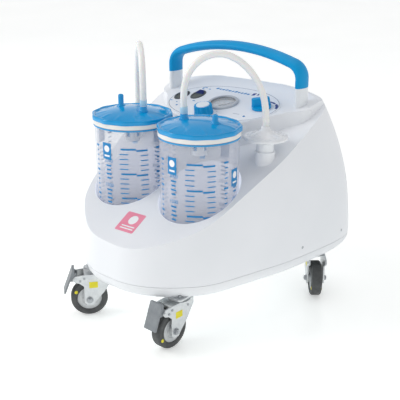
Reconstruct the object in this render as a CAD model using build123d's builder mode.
"""Mobile two-jar suction pump: a moulded housing on four casters, with a control panel and a push handle."""

from build123d import *
from math import atan2, cos, hypot, pi, radians, sin, sqrt, tan
import os

os.makedirs("parts", exist_ok=True)

# ---- driving dimensions, millimetres ----
WHEEL_DIAMETER = 64
TRAY_BOTTOM = 89
SEAM = 109
SKIN = 3.0

JAR_SPACING = 142
JAR_Y = -83
JAR_RADIUS = 64.5
JAR_WALL = 3.4
JAR_FLOOR = 127
JAR_RIM = 333.6
WELL_RADIUS = 67.8
WELL_WALL = 3.6

LID_BOTTOM = 341
LID_RADIUS = 69
PORT_OFFSET = 28.5
PORT_TURN = 7
TUBE_DIAMETER = 11.2

PANEL_Y = 81
PANEL_Z = 344
PANEL_TILT = 12.5
PANEL_HALF_WIDTH = 112
PANEL_HALF_DEPTH = 71
LABEL = 0.8

HANDLE_X = 138
HANDLE_Y = 120
HANDLE_TOP = 441.5
HANDLE_BEND = 26
HANDLE_CROWN = 384
GRIP_START = 383
BAR_THICKNESS = 16.5
BAR_DEPTH = 36

FILTER_X = 138
FILTER_Y = 8
FILTER_RADIUS = 37
FILTER_Z = 316
DECK_BOSS = 296

SOCKET_FLOOR = 312
SIDES = (("right", 1), ("left", -1))
UPRIGHT = (Align.CENTER, Align.CENTER, Align.MIN)
HANGING = (Align.CENTER, Align.CENTER, Align.MAX)
CASTERS_AT = [(86, -160), (-86, -160), (166, 145), (-166, 145)]
PLATE_SCREWS = [(15, 15), (-15, 15), (-15, -15), (15, -15)]
PUMP_FEET_AT = [(70, 37), (-70, 37), (-70, 142), (70, 142)]
JAR_X = JAR_SPACING / 2
RUNNING_FIT = 0.05
GAP = 0.3

# ---- the housing's outline at the seam, right half, and how its walls lean in with height ----
RIGHT_HALF = [(0, -218), (57, -209), (100, -182), (133, -148), (155, -97), (173, -41), (188, 7),
              (199, 61), (208, 115), (212, 162), (203, 201), (170, 219), (90, 224), (0, 225)]
MIDDLE_Y = 3
HALF_WIDTH = 212
HALF_LENGTH = 222
LEAN = [(SEAM, 0), (150, 1), (194, 4.5), (233, 10), (270, 18), (306, 28), (351, 44), (395, 62)]

# The top of the housing in side view, as (y, z): it climbs from the nose to the back.
TOP_LINE = [(-238, 158), (-152, 202), (-83, 237.5), (-23, 267), (30, 292), (69, 311), (120, 334),
            (177, 355), (237, 373)]

# The console's outline in plan, right half, and the swept-up ridge behind it.
CONSOLE_HALF = [(0, 4), (48, 10), (88, 33), (114, 63), (132, 84), (151, 98), (160, 125),
                (160, 177), (130, 239), (0, 247)]
CONSOLE_HALF_WIDTH = 160
RIDGE_Y = 177
RIDGE_TOP = 375.5
RIDGE_DROP = 19
RIDGE_HALF = 165


def keep(builder, name):
    """Label a finished piece and write its file."""
    builder.part.label = name
    export_step(builder.part, f"parts/{name}.step")


def mirrored(half):
    """A closed outline from its right half, whose first and last points are on the middle line."""
    return half + [(-x, y) for x, y in reversed(half[1:-1])]


def outline(inset):
    """The housing's outline drawn in by inset."""
    across = 1 - inset / HALF_WIDTH
    along = 1 - inset / HALF_LENGTH
    return mirrored([(x * across, MIDDLE_Y + (y - MIDDLE_Y) * along) for x, y in RIGHT_HALF])


def superellipse(half_width, half_depth, power, count=40):
    """Points on a rounded oval that is squarer than an ellipse when power is over 2."""
    points = []
    for step in range(count):
        turn = 2 * pi * (step + 0.5) / count
        x = half_width * abs(cos(turn)) ** (2 / power)
        y = half_depth * abs(sin(turn)) ** (2 / power)
        points.append((x if cos(turn) > 0 else -x, y if sin(turn) > 0 else -y))
    return points


def hull(skin):
    """The housing's walls as one tall solid, drawn in by skin."""
    with BuildPart() as block:
        for height, lean in LEAN:
            with BuildSketch(Plane.XY.offset(height)):
                with BuildLine():
                    Spline(*outline(lean + skin), periodic=True)
                make_face()
        loft()
    return block.part


def slope(skin):
    """Everything under the top line, lowered by skin."""
    with BuildPart() as block:
        with BuildSketch(Plane.YZ):
            with BuildLine():
                top = Spline(*[(y, z - skin) for y, z in TOP_LINE])
                Polyline(top @ 1, (TOP_LINE[-1][0], 0), (TOP_LINE[0][0], 0), top @ 0)
            make_face()
        extrude(amount=HALF_WIDTH * 2, both=True)
    return block.part


def panel_height(y):
    """Height of the console's flat top at y."""
    return PANEL_Z + (y - PANEL_Y) * tan(radians(PANEL_TILT))


def console(skin):
    """The raised console: its outline, cut by its flat top and the ridge's crown."""
    flat_end = 151
    front = -23
    with BuildPart() as block:
        with BuildSketch(Plane.XY.offset(SEAM)):
            with BuildLine():
                Spline(*mirrored([(x * (1 - skin / CONSOLE_HALF_WIDTH), y + skin) for x, y in CONSOLE_HALF]),
                       periodic=True)
            make_face()
        extrude(amount=300)
        with BuildSketch(Plane.YZ):
            with BuildLine():
                rise = Spline((flat_end, panel_height(flat_end) - skin), (RIDGE_Y, RIDGE_TOP - skin),
                              (RIDGE_Y + 14, RIDGE_TOP - skin + 1),
                              tangents=((1, sin(radians(PANEL_TILT))), (1, 0)))
                Polyline(rise @ 1, (300, RIDGE_TOP - skin), (300, 0), (front, 0),
                         (front, panel_height(front) - skin), rise @ 0)
            make_face()
        extrude(amount=HALF_WIDTH * 2, both=True, mode=Mode.INTERSECT)
        with BuildSketch(Plane.XZ):
            with BuildLine():
                crown = ThreePointArc((-RIDGE_HALF, RIDGE_TOP - RIDGE_DROP - skin), (0, RIDGE_TOP - skin),
                                      (RIDGE_HALF, RIDGE_TOP - RIDGE_DROP - skin))
                Polyline(crown @ 1, (RIDGE_HALF, 0), (-RIDGE_HALF, 0), crown @ 0)
            make_face()
        extrude(amount=400, both=True, mode=Mode.INTERSECT)
    return block.part


panel = Plane(origin=(0, PANEL_Y, PANEL_Z), x_dir=(1, 0, 0),
              z_dir=(0, -sin(radians(PANEL_TILT)), cos(radians(PANEL_TILT))))

# Places on the panel, from its middle: to the right, and up the slope.
GAUGE_AT = (2, -2)
REGULATOR_AT = (-5, -51)
SELECTOR_AT = (80, 4)
LAMP_AT = (70, -37)
SWITCHES_AT = {"power": (-95, 3), "boost": (-66, 15)}
GAUGE_RADIUS = 26
SWITCH_HALF_WIDTH = 10.8
SWITCH_HALF_LENGTH = 17.6
SWITCH_WALL = 1.6
SHAFT_RADIUS = 4
LAMP_RADIUS = 2.3

# Rear plate and side screws.
REAR_PLATE_Y = 215
REAR_PLATE_Z = 158
REAR_PLATE_WIDTH = 190
REAR_PLATE_HEIGHT = 58
SCREW_RADIUS = 2.6
SIDE_SCREWS = [(45, 125), (157, 125)]
WELL_FLOOR_TOP = JAR_FLOOR - 3
SCREW_INSIDE = 186


# ---- housing ----
walls, walls_inside = hull(0), hull(SKIN)
with BuildPart() as wall_top:
    add(walls)
    add(slope(0), mode=Mode.INTERSECT)

with BuildPart() as console_top:
    add(console(0))
    add(walls, mode=Mode.INTERSECT)

with BuildPart() as wall_inside:
    add(walls_inside)
    add(slope(SKIN), mode=Mode.INTERSECT)

with BuildPart() as console_inside:
    add(console(SKIN))
    add(walls_inside, mode=Mode.INTERSECT)

with BuildPart() as linings:
    for side, sign in SIDES:
        with Locations((sign * JAR_X, JAR_Y, WELL_FLOOR_TOP - SKIN)):
            Cylinder(WELL_RADIUS + WELL_WALL, 300, align=UPRIGHT)
    add(slope(0), mode=Mode.INTERSECT)

with BuildPart() as main_shell:
    add(wall_top.part)
    add(console_top.part)
    add(wall_inside.part, mode=Mode.SUBTRACT)
    add(console_inside.part, mode=Mode.SUBTRACT)
    add(linings.part)
    with Locations((0, REAR_PLATE_Y - 6, REAR_PLATE_Z)):
        Box(REAR_PLATE_WIDTH + 12, 9, REAR_PLATE_HEIGHT + 12, align=(Align.CENTER, Align.MIN, Align.CENTER))
    for side, sign in SIDES:
        with Locations((sign * FILTER_X, FILTER_Y, DECK_BOSS)):
            Cylinder(17, 24, align=HANGING)
        with Locations((sign * HANDLE_X, HANDLE_Y, 346)):
            Cylinder(22, 40, align=HANGING)
        with Locations((sign * JAR_X, JAR_Y, WELL_FLOOR_TOP)):
            Cylinder(WELL_RADIUS, 300, align=UPRIGHT, mode=Mode.SUBTRACT)
        with BuildSketch(Plane.XY.offset(SOCKET_FLOOR)):
            with Locations((sign * HANDLE_X, HANDLE_Y)):
                Ellipse(BAR_THICKNESS / 2 + 0.1, BAR_DEPTH / 2 + 0.1)
        extrude(amount=100, mode=Mode.SUBTRACT)
        with BuildSketch(Plane.YZ):
            with Locations(*SIDE_SCREWS):
                Circle(SCREW_RADIUS)
        extrude(amount=sign * 300, mode=Mode.SUBTRACT)
    with Locations((0, REAR_PLATE_Y, REAR_PLATE_Z)):
        Box(REAR_PLATE_WIDTH, 60, REAR_PLATE_HEIGHT, align=(Align.CENTER, Align.MIN, Align.CENTER),
            mode=Mode.SUBTRACT)
    with BuildSketch(panel.offset(-40)):
        with Locations(GAUGE_AT):
            Circle(GAUGE_RADIUS + 0.2)
        with Locations(REGULATOR_AT, SELECTOR_AT):
            Circle(SHAFT_RADIUS + 2.2)
        with Locations(LAMP_AT):
            Circle(LAMP_RADIUS + 0.1)
        with Locations(*SWITCHES_AT.values()):
            Ellipse(SWITCH_HALF_WIDTH + 0.2, SWITCH_HALF_LENGTH + 0.2)
    extrude(amount=60, mode=Mode.SUBTRACT)
keep(main_shell, "main_shell")


def tray_block(skin):
    """The shallow base tray, whose sides draw in towards its floor."""
    with BuildPart() as block:
        for height, lean in ((TRAY_BOTTOM + skin, 9), (TRAY_BOTTOM + 6, 4), (SEAM - 0.6 + skin, 0)):
            with BuildSketch(Plane.XY.offset(height)):
                with BuildLine():
                    Spline(*outline(lean + skin), periodic=True)
                make_face()
        loft()
    return block.part


with BuildPart() as caster_bosses:
    with Locations(*[(x, y, TRAY_BOTTOM) for x, y in CASTERS_AT]):
        Cylinder(30, 7, align=UPRIGHT)
    add(tray_block(0), mode=Mode.INTERSECT)

with BuildPart() as base_tray:
    add(tray_block(0))
    add(tray_block(SKIN), mode=Mode.SUBTRACT)
    add(caster_bosses.part)
    with BuildSketch(Plane.XY.offset(SEAM - 11)):
        with BuildLine():
            Spline(*outline(SKIN + 0.2), periodic=True)
        make_face()
        with BuildLine():
            Spline(*outline(2 * SKIN), periodic=True)
        make_face(mode=Mode.SUBTRACT)
    extrude(amount=17)
    with Locations(*[(x + dx, y + dy, TRAY_BOTTOM) for x, y in CASTERS_AT for dx, dy in PLATE_SCREWS]):
        Cylinder(SCREW_RADIUS + 0.1, 5, align=UPRIGHT, mode=Mode.SUBTRACT)
    for side, sign in SIDES:
        with Locations((sign * JAR_X, JAR_Y, TRAY_BOTTOM + SKIN)):
            Cylinder(30, WELL_FLOOR_TOP - SKIN - TRAY_BOTTOM - SKIN - 0.2, align=UPRIGHT)
            Cylinder(26, 60, align=UPRIGHT, mode=Mode.SUBTRACT)
    with Locations(*[(x, y, TRAY_BOTTOM + SKIN) for x, y in PUMP_FEET_AT]):
        Cylinder(9, 8, align=UPRIGHT)
keep(base_tray, "base_tray")

with BuildPart() as housing_screws:
    for side, sign in SIDES:
        with BuildSketch(Plane.YZ.offset(sign * SCREW_INSIDE)):
            with Locations(*SIDE_SCREWS):
                Circle(SCREW_RADIUS - 0.1)
        extrude(amount=sign * 40)
    add(walls, mode=Mode.INTERSECT)
    with Locations(*[(x + dx, y + dy, TRAY_BOTTOM - 3.2) for x, y in CASTERS_AT for dx, dy in PLATE_SCREWS]):
        Cylinder(SCREW_RADIUS, 8, align=UPRIGHT)
        Cylinder(4.2, 2.2, align=HANGING)
keep(housing_screws, "housing_screws")


# ---- handle ----
def handle_path():
    """Half the handle's centre line: up the post, round the corner and over the shallow crown."""
    crown_centre = HANDLE_TOP - HANDLE_CROWN
    reach = HANDLE_CROWN - HANDLE_BEND
    bend_z = crown_centre + sqrt(reach ** 2 - (HANDLE_X - HANDLE_BEND) ** 2)
    slant = atan2(bend_z - crown_centre, HANDLE_X - HANDLE_BEND)
    crown_start = (HANDLE_CROWN * cos(slant), crown_centre + HANDLE_CROWN * sin(slant))
    half = slant / 2
    bend_middle = (HANDLE_X - HANDLE_BEND + HANDLE_BEND * cos(half), bend_z + HANDLE_BEND * sin(half))
    return bend_z, bend_middle, crown_start


BEND_Z, BEND_MIDDLE, CROWN_START = handle_path()


def handle_bar(half_thickness, half_depth, start):
    """A bar of oval section along the whole handle, from start on one post to start on the other."""
    with BuildPart() as bar:
        with BuildLine(Plane.XZ.offset(-HANDLE_Y)):
            Line((HANDLE_X, start), (HANDLE_X, BEND_Z))
            ThreePointArc((HANDLE_X, BEND_Z), BEND_MIDDLE, CROWN_START)
            ThreePointArc(CROWN_START, (0, HANDLE_TOP), (-CROWN_START[0], CROWN_START[1]))
            ThreePointArc((-CROWN_START[0], CROWN_START[1]), (-BEND_MIDDLE[0], BEND_MIDDLE[1]),
                          (-HANDLE_X, BEND_Z))
            Line((-HANDLE_X, BEND_Z), (-HANDLE_X, start))
        with BuildSketch(Plane(origin=(HANDLE_X, HANDLE_Y, start), x_dir=(1, 0, 0), z_dir=(0, 0, 1))):
            Ellipse(half_thickness, half_depth)
        sweep()
    return bar.part


core_outside = handle_bar(BAR_THICKNESS / 2 - 3, BAR_DEPTH / 2 - 8, SOCKET_FLOOR)
with BuildPart() as handle_core:
    add(core_outside)
keep(handle_core, "handle_core")

with BuildPart() as handle_grip:
    add(handle_bar(BAR_THICKNESS / 2, BAR_DEPTH / 2, GRIP_START))
    add(core_outside, mode=Mode.SUBTRACT)
keep(handle_grip, "handle_grip")

with BuildPart() as handle_posts:
    with BuildSketch(Plane.XY.offset(SOCKET_FLOOR)):
        with Locations((HANDLE_X, HANDLE_Y), (-HANDLE_X, HANDLE_Y)):
            Ellipse(BAR_THICKNESS / 2, BAR_DEPTH / 2)
    extrude(amount=GRIP_START - SOCKET_FLOOR)
    add(core_outside, mode=Mode.SUBTRACT)
keep(handle_posts, "handle_posts")


# ---- control panel ----
with BuildPart() as panel_label:
    with BuildSketch(panel):
        with BuildLine():
            Spline(*superellipse(PANEL_HALF_WIDTH, PANEL_HALF_DEPTH, 2.2), periodic=True)
        make_face()
        with Locations(GAUGE_AT):
            Circle(GAUGE_RADIUS + 0.2, mode=Mode.SUBTRACT)
        with Locations(REGULATOR_AT, SELECTOR_AT):
            Circle(SHAFT_RADIUS + 2.2, mode=Mode.SUBTRACT)
        with Locations(LAMP_AT):
            Circle(LAMP_RADIUS + 0.1, mode=Mode.SUBTRACT)
        with Locations(*SWITCHES_AT.values()):
            Ellipse(SWITCH_HALF_WIDTH + 0.2, SWITCH_HALF_LENGTH + 0.2, mode=Mode.SUBTRACT)
    extrude(amount=LABEL)
keep(panel_label, "panel_label")

gauge_plane = panel.shift_origin(panel.from_local_coords((*GAUGE_AT, 0)))
DIAL_FLOOR = -4
NEEDLE_PIN = 0.8
with BuildPart(gauge_plane) as gauge_case:
    with Locations((0, 0, 1)):
        Cylinder(GAUGE_RADIUS, 30, align=HANGING)
    with Locations((0, 0, DIAL_FLOOR)):
        Cylinder(GAUGE_RADIUS - 2, 10, align=UPRIGHT, mode=Mode.SUBTRACT)
    with Locations((0, 0, -29)):
        Cylinder(5, 14, align=HANGING)
keep(gauge_case, "gauge_case")

with BuildPart(gauge_plane) as gauge_dial:
    with Locations((0, 0, DIAL_FLOOR)):
        Cylinder(GAUGE_RADIUS - 2.1, 0.8, align=UPRIGHT)
        Cylinder(NEEDLE_PIN, 3, align=UPRIGHT)
keep(gauge_dial, "gauge_dial")

with BuildPart(gauge_plane) as gauge_needle:
    with BuildSketch(gauge_plane.offset(DIAL_FLOOR + 1.6)):
        Circle(2.6)
        with BuildLine():
            Polyline((-7, -5.2), (-5.2, -7), (1.4, -0.8), (13.5, 13.5), (-0.8, 1.4), close=True)
        make_face()
        Circle(NEEDLE_PIN + RUNNING_FIT, mode=Mode.SUBTRACT)
    extrude(amount=0.8)
keep(gauge_needle, "gauge_needle")

with BuildPart(gauge_plane) as gauge_lens:
    with Locations((0, 0, 1)):
        Cylinder(GAUGE_RADIUS - 0.6, 1.4, align=UPRIGHT)
keep(gauge_lens, "gauge_lens")

with BuildPart(gauge_plane) as gauge_bezel:
    with Locations((0, 0, LABEL)):
        Cylinder(GAUGE_RADIUS + 2.4, 3.6, align=UPRIGHT)
    top_edge = gauge_bezel.edges().group_by(Axis(gauge_plane.origin, gauge_plane.z_dir))[-1]
    fillet(top_edge, 1.4)
    with Locations((0, 0, LABEL)):
        Cylinder(GAUGE_RADIUS, 0.3, align=UPRIGHT, mode=Mode.SUBTRACT)
        Cylinder(GAUGE_RADIUS - 0.5, 1.8, align=UPRIGHT, mode=Mode.SUBTRACT)
        Cylinder(GAUGE_RADIUS - 2.6, 6, align=UPRIGHT, mode=Mode.SUBTRACT)
keep(gauge_bezel, "gauge_bezel")

ROCKER_PIVOT = -3
ROCKER_PIN = 1.2
ROCKER_HALF_LENGTH = SWITCH_HALF_LENGTH - SWITCH_WALL - 0.9
ROCKER_HALF_WIDTH = SWITCH_HALF_WIDTH - SWITCH_WALL - 0.8
ROCKER_LEAN = 8
with BuildPart() as switch_bezels:
    for place in SWITCHES_AT.values():
        flat = panel.shift_origin(panel.from_local_coords((*place, 0)))
        side_view = Plane(origin=flat.origin, x_dir=flat.y_dir, z_dir=flat.x_dir)
        with BuildSketch(flat.offset(-16)):
            Ellipse(SWITCH_HALF_WIDTH, SWITCH_HALF_LENGTH)
        extrude(amount=16 + LABEL)
        with BuildSketch(flat.offset(LABEL)):
            Ellipse(SWITCH_HALF_WIDTH + 1.4, SWITCH_HALF_LENGTH + 1.4)
        extrude(amount=1.3, taper=20)
        with BuildSketch(flat.offset(-14)):
            Ellipse(SWITCH_HALF_WIDTH - SWITCH_WALL, SWITCH_HALF_LENGTH - SWITCH_WALL)
        extrude(amount=30, mode=Mode.SUBTRACT)
        with BuildSketch(side_view):
            with Locations((0, ROCKER_PIVOT)):
                Circle(ROCKER_PIN + RUNNING_FIT)
        extrude(amount=SWITCH_HALF_WIDTH + 1, both=True, mode=Mode.SUBTRACT)
keep(switch_bezels, "switch_bezels")

for switch, place in SWITCHES_AT.items():
    flat = panel.shift_origin(panel.from_local_coords((*place, 0)))
    side_view = Plane(origin=flat.origin, x_dir=flat.y_dir, z_dir=flat.x_dir)
    with BuildPart(flat) as rocker:
        with BuildSketch(flat.offset(-10)):
            Ellipse(ROCKER_HALF_WIDTH, ROCKER_HALF_LENGTH)
        extrude(amount=24)
        with BuildSketch(side_view):
            with BuildLine():
                Polyline((-20, 4.6), (0, 1.6), (20, 4.6), (20, -9), (-20, -9), close=True)
            make_face()
            with Locations((0, ROCKER_PIVOT)):
                Circle(ROCKER_HALF_LENGTH, mode=Mode.INTERSECT)
        extrude(amount=SWITCH_HALF_WIDTH, both=True, mode=Mode.INTERSECT)
        with BuildSketch(side_view):
            with Locations((0, ROCKER_PIVOT)):
                Circle(ROCKER_PIN)
        extrude(amount=SWITCH_HALF_WIDTH - 0.2, both=True)
    pivot = Axis(flat.from_local_coords((0, 0, ROCKER_PIVOT)), flat.x_dir)
    rocker.part.label = f"{switch}_rocker"
    rocker_rest = rocker.part.rotate(pivot, ROCKER_LEAN)
    rocker_rest.label = rocker.part.label
    export_step(rocker_rest, f"parts/{switch}_rocker.step")

KNOB_CLEAR = LABEL + 0.6
REGULATOR_HEIGHT = 16
with BuildPart() as control_valves:
    for place, shaft_length in ((REGULATOR_AT, 12), (SELECTOR_AT, 15)):
        with BuildSketch(panel):
            with Locations(place):
                Circle(SHAFT_RADIUS)
        extrude(amount=shaft_length)
        with BuildSketch(panel):
            with Locations(place):
                Circle(SHAFT_RADIUS + 2)
        extrude(amount=-14)
        with BuildSketch(panel.offset(-12)):
            with Locations(place):
                Circle(12)
        extrude(amount=-22)
keep(control_valves, "control_valves")

regulator_plane = panel.shift_origin(panel.from_local_coords((*REGULATOR_AT, 0)))
with BuildPart(regulator_plane) as regulator_knob:
    with BuildSketch(regulator_plane.offset(KNOB_CLEAR)):
        Circle(17)
        with PolarLocations(19.4, 14):
            Circle(3.4, mode=Mode.SUBTRACT)
    extrude(amount=REGULATOR_HEIGHT, taper=5)
    with Locations((0, 0, KNOB_CLEAR + REGULATOR_HEIGHT - 4)):
        Cylinder(12, 10, align=UPRIGHT, mode=Mode.SUBTRACT)
    with Locations((0, 0, KNOB_CLEAR - 1)):
        Cylinder(SHAFT_RADIUS + RUNNING_FIT, 30, align=UPRIGHT, mode=Mode.SUBTRACT)
keep(regulator_knob, "regulator_knob")

with BuildPart(regulator_plane) as regulator_cap:
    with Locations((0, 0, KNOB_CLEAR + REGULATOR_HEIGHT - 4)):
        Cylinder(11.9, 5.4, align=UPRIGHT)
    fillet(regulator_cap.edges().group_by(Axis(regulator_plane.origin, regulator_plane.z_dir))[-1], 1)
keep(regulator_cap, "regulator_cap")

selector_plane = panel.shift_origin(panel.from_local_coords((*SELECTOR_AT, 0)))
with BuildPart(selector_plane) as selector_knob:
    with Locations((0, 0, KNOB_CLEAR)):
        Cylinder(17, 5, align=UPRIGHT)
    with BuildSketch(selector_plane.offset(KNOB_CLEAR + 5)):
        with Locations((0, 0, 0)):
            SlotOverall(33, 11, rotation=35)
    extrude(amount=13, taper=4)
    with Locations((0, 0, KNOB_CLEAR - 1)):
        Cylinder(SHAFT_RADIUS + RUNNING_FIT, 16.2, align=UPRIGHT, mode=Mode.SUBTRACT)
keep(selector_knob, "selector_knob")

lamp_plane = panel.shift_origin(panel.from_local_coords((*LAMP_AT, 0)))
with BuildPart(lamp_plane) as status_lamp:
    with Locations((0, 0, -10)):
        Cylinder(LAMP_RADIUS, 11.6, align=UPRIGHT)
    fillet(status_lamp.edges().group_by(Axis(lamp_plane.origin, lamp_plane.z_dir))[-1], 1)
keep(status_lamp, "status_lamp")


# ---- jars, lids and filters ----
JAR_INSIDE = JAR_RADIUS - JAR_WALL
SEAT_THICKNESS = 2.6
SKIRT_HEIGHT = 6
CONE_TOP = 354
RING_TOP = 358
RING_OUTER = 30
RING_INNER = 24
LID_SKIN = 3
PORT_RADIUS = 4.7
PORT_FOOT = 359  # where a hose pushed on the free port stops
COLLAR_RADIUS = 6.2
COLLAR_TOP = 361
TUBE_START = 363
FREE_PORT_TOP = {"right": 368.5, "left": 375}
CAGE_RADIUS = 13
CAGE_FLOOR = 300
FLOAT_RADIUS = 10.6
FLOAT_HEIGHT = 18
FILTER_RIM = 6
FILTER_TOP = 338
TUBE_RADIUS = TUBE_DIAMETER / 2

# The suction tube's route on the right, as (distance from the lid's port towards the filter, z).
TUBE_ROUTE = [(0, TUBE_START), (-1.5, 392), (5, 428), (30, 454), (66, 459), (101, 436), (124, 400),
              (132.1, 365), (132.1, FILTER_TOP)]


def tube_points(sign):
    """The tube's route in space, on the right or, mirrored, on the left."""
    start_x = JAR_X - PORT_OFFSET * cos(radians(PORT_TURN))
    start_y = JAR_Y - PORT_OFFSET * sin(radians(PORT_TURN))
    span = hypot(FILTER_X - start_x, FILTER_Y - start_y)
    across, along = (FILTER_X - start_x) / span, (FILTER_Y - start_y) / span
    reach = TUBE_ROUTE[-1][0]
    return [(sign * (start_x + across * span * d / reach), start_y + along * span * d / reach, z)
            for d, z in TUBE_ROUTE]


with BuildPart() as jar_seats:
    with Locations((JAR_X, JAR_Y, WELL_FLOOR_TOP), (-JAR_X, JAR_Y, WELL_FLOOR_TOP)):
        Cylinder(40, SEAT_THICKNESS, align=UPRIGHT)
        Cylinder(24, SEAT_THICKNESS, align=UPRIGHT, mode=Mode.SUBTRACT)
keep(jar_seats, "jar_seats")

with BuildPart() as filter_seats:
    with Locations((FILTER_X, FILTER_Y, DECK_BOSS), (-FILTER_X, FILTER_Y, DECK_BOSS)):
        Cylinder(14.5, FILTER_Z - DECK_BOSS - 6, align=UPRIGHT)
        Cylinder(5, FILTER_Z - DECK_BOSS - 1, align=UPRIGHT)
keep(filter_seats, "filter_seats")

for side, sign in SIDES:
    with BuildPart() as jar:
        with Locations((sign * JAR_X, JAR_Y, JAR_FLOOR)):
            Cylinder(JAR_RADIUS, JAR_RIM - JAR_FLOOR, align=UPRIGHT)
        fillet(jar.edges().group_by(Axis.Z)[0], 8)
        with Locations((sign * JAR_X, JAR_Y, JAR_RIM - 3.2)):
            Cylinder(JAR_RADIUS + 2, 2.8, align=UPRIGHT)
        with Locations((sign * JAR_X, JAR_Y, JAR_FLOOR + 4)):
            Cylinder(JAR_INSIDE, 260, align=UPRIGHT, mode=Mode.SUBTRACT)
    keep(jar, f"jar_{side}")

    with BuildPart() as gasket:
        with Locations((sign * JAR_X, JAR_Y, JAR_RIM + GAP)):
            Cylinder(JAR_RADIUS + 2.3, LID_BOTTOM - JAR_RIM - GAP, align=UPRIGHT)
            Cylinder(JAR_INSIDE - 0.6, 10, align=UPRIGHT, mode=Mode.SUBTRACT)
    keep(gasket, f"jar_gasket_{side}")

    ports = [(sign * (JAR_X + end * PORT_OFFSET * cos(radians(PORT_TURN))),
              JAR_Y + end * PORT_OFFSET * sin(radians(PORT_TURN))) for end in (-1, 1)]
    section = Plane(origin=(sign * JAR_X, JAR_Y, 0), x_dir=(1, 0, 0), z_dir=(0, -1, 0))
    with BuildPart() as lid:
        lobes = [(LID_RADIUS - 0.7 + 0.7 * cos(12 * turn), turn) for turn in
                 [2 * pi * step / 96 for step in range(96)]]
        with BuildSketch(Plane.XY.offset(LID_BOTTOM)):
            with BuildLine():
                Spline(*[(sign * JAR_X + r * cos(a), JAR_Y + r * sin(a)) for r, a in lobes], periodic=True)
            make_face()
        extrude(amount=SKIRT_HEIGHT)
        with BuildSketch(section):
            with BuildLine():
                Polyline((0, LID_BOTTOM + 1), (LID_RADIUS - 2, LID_BOTTOM + 1),
                         (LID_RADIUS - 2, LID_BOTTOM + SKIRT_HEIGHT), (RING_OUTER + 1, CONE_TOP),
                         (RING_OUTER, RING_TOP), (RING_INNER, RING_TOP), (RING_INNER - 1, RING_TOP - 1.5),
                         (0, RING_TOP - 1.5), close=True)
            make_face()
        revolve(axis=Axis((sign * JAR_X, JAR_Y, 0), (0, 0, 1)))
        with Locations(*[(x, y, LID_BOTTOM) for x, y in ports]):
            Cylinder(PORT_RADIUS + 2, CONE_TOP - LID_BOTTOM - 3, align=UPRIGHT)
        with Locations((*ports[0], LID_BOTTOM)):
            Cylinder(COLLAR_RADIUS, COLLAR_TOP - LID_BOTTOM, align=UPRIGHT)
            Cylinder(PORT_RADIUS + 0.6, TUBE_START - LID_BOTTOM, align=UPRIGHT)
        with Locations((*ports[1], LID_BOTTOM)):
            Cylinder(PORT_RADIUS + 2, PORT_FOOT - LID_BOTTOM, align=UPRIGHT)
            Cylinder(PORT_RADIUS, FREE_PORT_TOP[side] - LID_BOTTOM, align=UPRIGHT)
        chamfer(lid.edges().group_by(Axis.Z)[-1], 1.2)
        with BuildSketch(section):
            with BuildLine():
                Polyline((0, LID_BOTTOM), (JAR_INSIDE - 0.8, LID_BOTTOM), (RING_OUTER, CONE_TOP - LID_SKIN),
                         (RING_INNER, RING_TOP - LID_SKIN - 1.5), (0, RING_TOP - LID_SKIN - 1.5), close=True)
            make_face()
        revolve(axis=Axis((sign * JAR_X, JAR_Y, 0), (0, 0, 1)), mode=Mode.SUBTRACT)
        with Locations(*[(x, y, LID_BOTTOM - 1) for x, y in ports]):
            Cylinder(PORT_RADIUS - 1.6, 60, align=UPRIGHT, mode=Mode.SUBTRACT)
    keep(lid, f"jar_lid_{side}")

    with BuildPart() as cage:
        with Locations((sign * JAR_X, JAR_Y, CAGE_FLOOR)):
            Cylinder(CAGE_RADIUS, RING_TOP - LID_SKIN - 1.5 - CAGE_FLOOR, align=UPRIGHT)
        with Locations((sign * JAR_X, JAR_Y, CAGE_FLOOR + 2)):
            Cylinder(CAGE_RADIUS - 2, 80, align=UPRIGHT, mode=Mode.SUBTRACT)
        with Locations((sign * JAR_X, JAR_Y, CAGE_FLOOR + 8)):
            Box(8, 60, 22, align=UPRIGHT, mode=Mode.SUBTRACT)
            Box(60, 8, 22, align=UPRIGHT, mode=Mode.SUBTRACT)
    keep(cage, f"float_cage_{side}")

    with BuildPart() as float_body:
        with Locations((sign * JAR_X, JAR_Y, CAGE_FLOOR + 2 + GAP)):
            Cylinder(FLOAT_RADIUS, FLOAT_HEIGHT, align=UPRIGHT)
        fillet(float_body.edges().group_by(Axis.Z)[-1], 5)
    keep(float_body, f"float_{side}")

    with BuildPart() as air_filter:
        with BuildSketch(Plane(origin=(sign * FILTER_X, FILTER_Y, 0), x_dir=(1, 0, 0), z_dir=(0, -1, 0))):
            with BuildLine():
                Polyline((0, FILTER_Z - 5), (9, FILTER_Z - 5), (12, FILTER_Z - 2), (FILTER_RADIUS - 4, FILTER_Z),
                         (FILTER_RADIUS, FILTER_Z + 1), (FILTER_RADIUS, FILTER_Z + FILTER_RIM - 1),
                         (FILTER_RADIUS - 4, FILTER_Z + FILTER_RIM), (12, FILTER_Z + FILTER_RIM + 6),
                         (7, FILTER_TOP - 2), (6.5, FILTER_TOP), (0, FILTER_TOP), close=True)
            make_face()
        revolve(axis=Axis((sign * FILTER_X, FILTER_Y, 0), (0, 0, 1)))
        with Locations((sign * FILTER_X, FILTER_Y, FILTER_Z - 6)):
            Cylinder(5 + RUNNING_FIT, 6, align=UPRIGHT, mode=Mode.SUBTRACT)
        with Locations((sign * FILTER_X, FILTER_Y, FILTER_Z + 3)):
            Cylinder(PORT_RADIUS - 1.6, 30, align=UPRIGHT, mode=Mode.SUBTRACT)
    keep(air_filter, f"air_filter_{side}")

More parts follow.
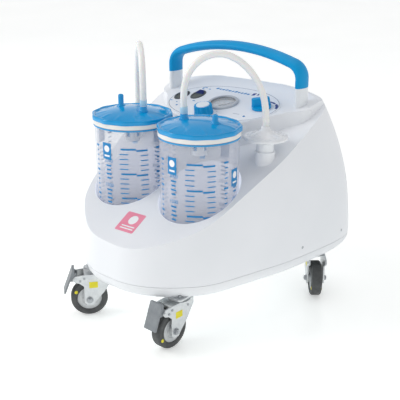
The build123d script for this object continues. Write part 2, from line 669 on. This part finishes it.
    route = [Vector(*point) for point in tube_points(sign)]
    runs = [(b - a).length for a, b in zip(route, route[1:])]
    turns = [(b - a).get_angle(c - b) for a, b, c in zip(route, route[1:], route[2:])]
    radii = [0.45 * min(before, after) / tan(radians(turn / 2))
             for before, after, turn in zip(runs, runs[1:], turns)]
    with BuildPart() as suction_tube:
        with BuildLine() as centre_line:
            FilletPolyline(*route, radius=radii)
        with BuildSketch(Plane(origin=route[0], z_dir=route[1] - route[0])):
            Circle(TUBE_RADIUS)
        sweep()
    keep(suction_tube, f"suction_tube_{side}")
    length = sum(edge.length for edge in centre_line.edges())
    print(side, "tube runs", [round(run, 1) for run in runs], "turns", [round(turn) for turn in turns])
    print(side, "tube radii", [round(radius, 1) for radius in radii], "length", round(length, 1))
    print(side, "tube volume over section times length",
          round(suction_tube.part.volume / (pi * TUBE_RADIUS ** 2 * length), 4))


# ---- rear plate ----
REAR_FACE = REAR_PLATE_Y + 3
INLET_X = -62
FUSE_X = -24
SOCKET_X = 4
GRILLE_X = 52
rear = Plane(origin=(0, REAR_PLATE_Y, REAR_PLATE_Z), x_dir=(-1, 0, 0), z_dir=(0, 1, 0))
with BuildPart() as rear_plate:
    with BuildSketch(rear):
        RectangleRounded(REAR_PLATE_WIDTH - 0.4, REAR_PLATE_HEIGHT - 0.4, 1)
        with Locations((-INLET_X, 0)):
            Rectangle(28, 20.4, mode=Mode.SUBTRACT)
        with Locations((-FUSE_X, 0), (-SOCKET_X, 0)):
            Circle(6.1, mode=Mode.SUBTRACT)
        with Locations((-GRILLE_X, 0)):
            with GridLocations(9, 0, 7, 1):
                SlotOverall(40, 4, rotation=90, mode=Mode.SUBTRACT)
    extrude(amount=3)
keep(rear_plate, "rear_plate")

with BuildPart() as mains_inlet:
    with BuildSketch(rear):
        with Locations((-INLET_X, 0)):
            Rectangle(27.8, 20.2)
    extrude(amount=3)
    with BuildSketch(rear.offset(3)):
        with Locations((-INLET_X, 0)):
            RectangleRounded(34, 26, 3)
    extrude(amount=2)
    with BuildSketch(rear.offset(1)):
        with Locations((-INLET_X, 0)):
            RectangleRounded(24, 16, 3)
    extrude(amount=10, mode=Mode.SUBTRACT)
    with BuildSketch(rear.offset(1)):
        with Locations((-INLET_X, 0)):
            with Locations((0, 2.2), (-7, -2), (7, -2)):
                Rectangle(2, 4.4)
    extrude(amount=3)
keep(mains_inlet, "mains_inlet")

with BuildPart() as fuse_holder:
    with BuildSketch(rear):
        with Locations((-FUSE_X, 0)):
            Circle(6)
    extrude(amount=3)
    with BuildSketch(rear.offset(3)):
        with Locations((-FUSE_X, 0)):
            Circle(8.5)
    extrude(amount=5, taper=4)
    with BuildSketch(rear.offset(6.5)):
        with Locations((-FUSE_X, 0)):
            Rectangle(11, 1.6)
    extrude(amount=4, mode=Mode.SUBTRACT)
keep(fuse_holder, "fuse_holder")

with BuildPart() as pedal_socket:
    with BuildSketch(rear):
        with Locations((-SOCKET_X, 0)):
            Circle(6)
            Circle(3.4, mode=Mode.SUBTRACT)
    extrude(amount=3)
    with BuildSketch(rear.offset(3)):
        with Locations((-SOCKET_X, 0)):
            RegularPolygon(8.5, 6)
            Circle(3.4, mode=Mode.SUBTRACT)
    extrude(amount=2.5)
keep(pedal_socket, "pedal_socket")


# ---- vacuum pump and electronics inside ----
FOOT_TOP = TRAY_BOTTOM + SKIN + 8 + 10
MOTOR_Y = 89
MOTOR_Z = 176
with BuildPart() as pump_feet:
    with Locations(*[(x, y, TRAY_BOTTOM + SKIN + 8) for x, y in PUMP_FEET_AT]):
        Cylinder(8, 10, align=UPRIGHT)
keep(pump_feet, "pump_feet")

with BuildPart() as pump_bed:
    with Locations((0, MOTOR_Y, FOOT_TOP)):
        Box(166, 130, 4, align=UPRIGHT)
    with Locations((-40, MOTOR_Y, FOOT_TOP + 4), (40, MOTOR_Y, FOOT_TOP + 4)):
        Box(12, 60, MOTOR_Z - FOOT_TOP - 4 - 38, align=UPRIGHT)
keep(pump_bed, "pump_bed")

with BuildPart() as pump_motor:
    with Locations(Location((0, MOTOR_Y, MOTOR_Z), (0, 90, 0))):
        Cylinder(38, 108)
        with Locations((0, 0, -20), (0, 0, 0), (0, 0, 20)):
            Cylinder(39.5, 6)
    with Locations((0, MOTOR_Y, MOTOR_Z - 38)):
        Box(200, 200, 60, align=HANGING, mode=Mode.SUBTRACT)
keep(pump_motor, "pump_motor")

with BuildPart() as pump_heads:
    for side, sign in SIDES:
        with Locations((sign * 54, MOTOR_Y, MOTOR_Z)):
            Box(30, 62, 70, align=(Align.MIN if sign > 0 else Align.MAX, Align.CENTER, Align.CENTER))
        with Locations((sign * 69, MOTOR_Y, MOTOR_Z + 35)):
            Box(30, 52, 22, align=UPRIGHT)
            with Locations((0, 0, 4), (0, 0, 10), (0, 0, 16)):
                Box(34, 56, 2.4, align=UPRIGHT)
keep(pump_heads, "pump_heads")

with BuildPart() as control_board:
    with Locations((-96, 177, TRAY_BOTTOM + SKIN)):
        Box(70, 6, 14, align=UPRIGHT)
    with Locations((-96, 177, TRAY_BOTTOM + SKIN + 14)):
        Box(80, 2, 60, align=UPRIGHT)
    with Locations((-112, 176, TRAY_BOTTOM + SKIN + 26), (-86, 176, TRAY_BOTTOM + SKIN + 30)):
        Box(18, 14, 18, align=(Align.CENTER, Align.MAX, Align.MIN))
keep(control_board, "control_board")


# ---- casters ----
WHEEL_RADIUS = WHEEL_DIAMETER / 2
WHEEL_WIDTH = 19
TRAIL = 22
FORK_PLATE = 2.6
FORK_TOP = 79.4
FORK_HALF_WIDTH = 13.4
AXLE_RADIUS = 4
KING_PIN = 5
CASTERS = {"front_right": 264, "front_left": 227.5, "rear_right": 307, "rear_left": 250}
PEDAL_AXIS = (45, 72)
PEDAL_PIN = 2.4
PEDAL_HALF_WIDTH = FORK_HALF_WIDTH - GAP


def caster_planes(place, trailing):
    """The caster's level plane and its side view, whose x axis is the trailing direction."""
    turn = radians(trailing)
    level = Plane(origin=(*place, 0), x_dir=(cos(turn), sin(turn), 0), z_dir=(0, 0, 1))
    beside = Plane(origin=(*place, 0), x_dir=(cos(turn), sin(turn), 0), z_dir=(sin(turn), -cos(turn), 0))
    return level, beside


with BuildPart() as caster_mounts:
    for place in CASTERS_AT:
        with BuildSketch(Plane.XY.offset(TRAY_BOTTOM - 3)):
            with Locations(place):
                RectangleRounded(46, 46, 6)
            with Locations(*[(place[0] + dx, place[1] + dy) for dx, dy in PLATE_SCREWS]):
                Circle(SCREW_RADIUS + 0.1, mode=Mode.SUBTRACT)
        extrude(amount=3)
        with Locations((*place, FORK_TOP + GAP)):
            Cylinder(16.5, TRAY_BOTTOM - 3 - FORK_TOP - GAP, align=UPRIGHT)
        with Locations((*place, FORK_TOP - 6)):
            Cylinder(KING_PIN, 10, align=UPRIGHT)
        with Locations((*place, FORK_TOP - FORK_PLATE - GAP)):
            Cylinder(8, 3.6, align=HANGING)
keep(caster_mounts, "caster_mounts")

for (name, trailing), place in zip(CASTERS.items(), CASTERS_AT):
    level, beside = caster_planes(place, trailing)
    braked = name.startswith("front")
    with BuildPart() as fork:
        with BuildSketch(beside):
            with BuildLine():
                Polyline((-19, FORK_TOP), (26, FORK_TOP), (45, 77.5), (50, 72), (46, 66.5), (38, 64),
                         (31, 58), (TRAIL + 9, WHEEL_RADIUS - 5), (TRAIL + 4, WHEEL_RADIUS - 10),
                         (TRAIL - 6, WHEEL_RADIUS - 10), (TRAIL - 12, WHEEL_RADIUS - 2), (-4, 46),
                         (-19, FORK_TOP - 10), close=True)
            make_face()
        extrude(amount=FORK_HALF_WIDTH + FORK_PLATE, both=True)
        with BuildSketch(beside):
            with Locations((20, 0)):
                Rectangle(110, 2 * (FORK_TOP - FORK_PLATE))
            with Locations((60, 60)):
                Rectangle(60, 60)
        extrude(amount=FORK_HALF_WIDTH, both=True, mode=Mode.SUBTRACT)
        with BuildSketch(level.offset(FORK_TOP - FORK_PLATE)):
            Circle(20)
        extrude(amount=FORK_PLATE)
        with BuildSketch(level.offset(FORK_TOP - 10)):
            Circle(KING_PIN + RUNNING_FIT)
        extrude(amount=20, mode=Mode.SUBTRACT)
        with BuildSketch(beside):
            with Locations((TRAIL, WHEEL_RADIUS)):
                Circle(AXLE_RADIUS)
        extrude(amount=FORK_HALF_WIDTH + FORK_PLATE + 2, both=True)
        if braked:
            with BuildSketch(beside):
                with Locations(PEDAL_AXIS):
                    Circle(PEDAL_PIN)
            extrude(amount=FORK_HALF_WIDTH + FORK_PLATE + 1, both=True)
    keep(fork, f"caster_fork_{name}")

    with BuildPart() as tyre:
        with BuildSketch(beside):
            with Locations((TRAIL, WHEEL_RADIUS)):
                Circle(WHEEL_RADIUS)
                Circle(WHEEL_RADIUS - 11, mode=Mode.SUBTRACT)
        extrude(amount=WHEEL_WIDTH / 2, both=True)
        rolling_edges = tyre.edges().filter_by(lambda edge: edge.geom_type == GeomType.CIRCLE
                                               and abs(edge.radius - WHEEL_RADIUS) < 0.1)
        fillet(rolling_edges, 4)
    keep(tyre, f"caster_tyre_{name}")

    with BuildPart() as hub:
        with BuildSketch(beside):
            with Locations((TRAIL, WHEEL_RADIUS)):
                Circle(WHEEL_RADIUS - 11)
        extrude(amount=WHEEL_WIDTH / 2 - 1.5, both=True)
        with BuildSketch(beside):
            with Locations((TRAIL, WHEEL_RADIUS)):
                Circle(8)
        extrude(amount=FORK_HALF_WIDTH - 0.5, both=True)
        with BuildSketch(beside):
            with Locations((TRAIL, WHEEL_RADIUS)):
                Circle(AXLE_RADIUS + RUNNING_FIT)
        extrude(amount=FORK_HALF_WIDTH + 1, both=True, mode=Mode.SUBTRACT)
    keep(hub, f"caster_hub_{name}")

    if braked:
        with BuildPart() as pedal:
            with BuildSketch(beside):
                with BuildLine():
                    Polyline((41, 68), (41, 76), (46, 81), (45.7, 87.6), (49.6, 87.6), (65.5, 46), (62.5, 46),
                             (54, 68), close=True)
                make_face()
            extrude(amount=PEDAL_HALF_WIDTH, both=True)
            with BuildSketch(beside):
                with BuildLine():
                    Polyline((30, 60), (30, 86), (47, 86), (60, 52), (50, 52), close=True)
                make_face()
            extrude(amount=PEDAL_HALF_WIDTH - 2.4, both=True, mode=Mode.SUBTRACT)
            with BuildSketch(beside):
                with Locations(PEDAL_AXIS):
                    Circle(PEDAL_PIN + RUNNING_FIT)
            extrude(amount=PEDAL_HALF_WIDTH + 4, both=True, mode=Mode.SUBTRACT)
        keep(pedal, f"brake_pedal_{name}")
